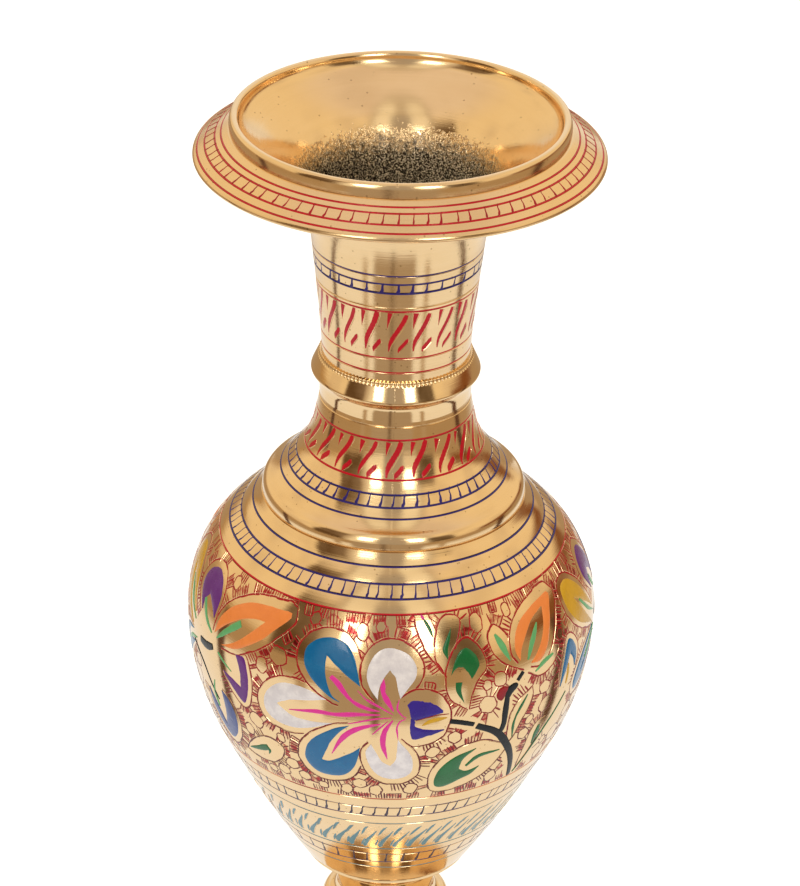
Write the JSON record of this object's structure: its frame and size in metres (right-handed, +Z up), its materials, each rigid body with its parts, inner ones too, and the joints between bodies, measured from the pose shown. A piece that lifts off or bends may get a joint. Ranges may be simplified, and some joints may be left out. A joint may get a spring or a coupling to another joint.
{
  "type": "flower vase",
  "caption": "Tall footed brass flower vase with a drooping lip, a collared neck, engraved bands and enamelled flowers round the belly.",
  "frame": {"origin": "centre of the flat ring the foot rests on", "axes": "+Z up along the vase's axis; the middle of the front flower faces -Y"},
  "size_m": [0.1212, 0.1212, 0.305],
  "materials": {
    "brass_neck": "lathe-polished, cast rough in the throat",
    "brass_lip": "lathe-turned satin with engraved lines",
    "brass_collar": "polished",
    "brass_flare": "lathe-turned satin",
    "brass_body_upper": "lathe-turned satin, engraved ground",
    "brass_body_lower": "lathe-turned satin, engraved ground",
    "brass_stem": "polished",
    "brass_foot": "lathe-turned satin, cast rough underneath",
    "braze": "pale brazing alloy, filed flush",
    "lac_red": "coloured lac wiped into the cut",
    "lac_navy": "coloured lac wiped into the cut",
    "lac_teal": "coloured lac wiped into the cut",
    "enamel_blue": "glossy cold enamel, brushed",
    "enamel_white": "glossy cold enamel, mottled",
    "enamel_pink": "glossy cold enamel",
    "enamel_indigo": "glossy cold enamel",
    "enamel_green": "glossy cold enamel",
    "enamel_light_green": "glossy cold enamel",
    "enamel_orange": "glossy cold enamel",
    "enamel_violet": "glossy cold enamel",
    "enamel_slate": "glossy cold enamel",
    "enamel_yellow": "glossy cold enamel",
    "enamel_black": "glossy cold enamel",
    "engraved_red": "dark red lac in hand-cut strokes"
  },
  "bodies": {
    "root": {"mouth_neck": "brass_neck", "lip_ring": "brass_lip", "neck_collar": "brass_collar", "shoulder_neck": "brass_flare", "body_upper": "brass_body_upper", "body_lower": "brass_body_lower", "stem": "brass_stem", "foot": "brass_foot", "braze_lip": "braze", "braze_neck": "braze", "braze_flare": "braze", "braze_belly": "braze", "braze_foot": "braze", "lac_lip_red": "lac_red", "lac_neck_navy": "lac_navy", "lac_neck_red": "lac_red", "lac_neck_slashes": "lac_red", "lac_flare_red": "lac_red", "lac_flare_slashes": "lac_red", "lac_flare_navy": "lac_navy", "lac_shoulder_navy": "lac_navy", "lac_frieze_top_red": "lac_red", "lac_frieze_low_red": "lac_red", "lac_low_navy": "lac_navy", "lac_low_lines": "lac_teal", "lac_teal_slashes": "lac_teal", "enamel_blue": "enamel_blue", "enamel_white": "enamel_white", "enamel_indigo": "enamel_indigo", "enamel_green": "enamel_green", "enamel_orange": "enamel_orange", "enamel_violet": "enamel_violet", "enamel_slate": "enamel_slate", "enamel_yellow": "enamel_yellow"}
  },
  "joints": []
}
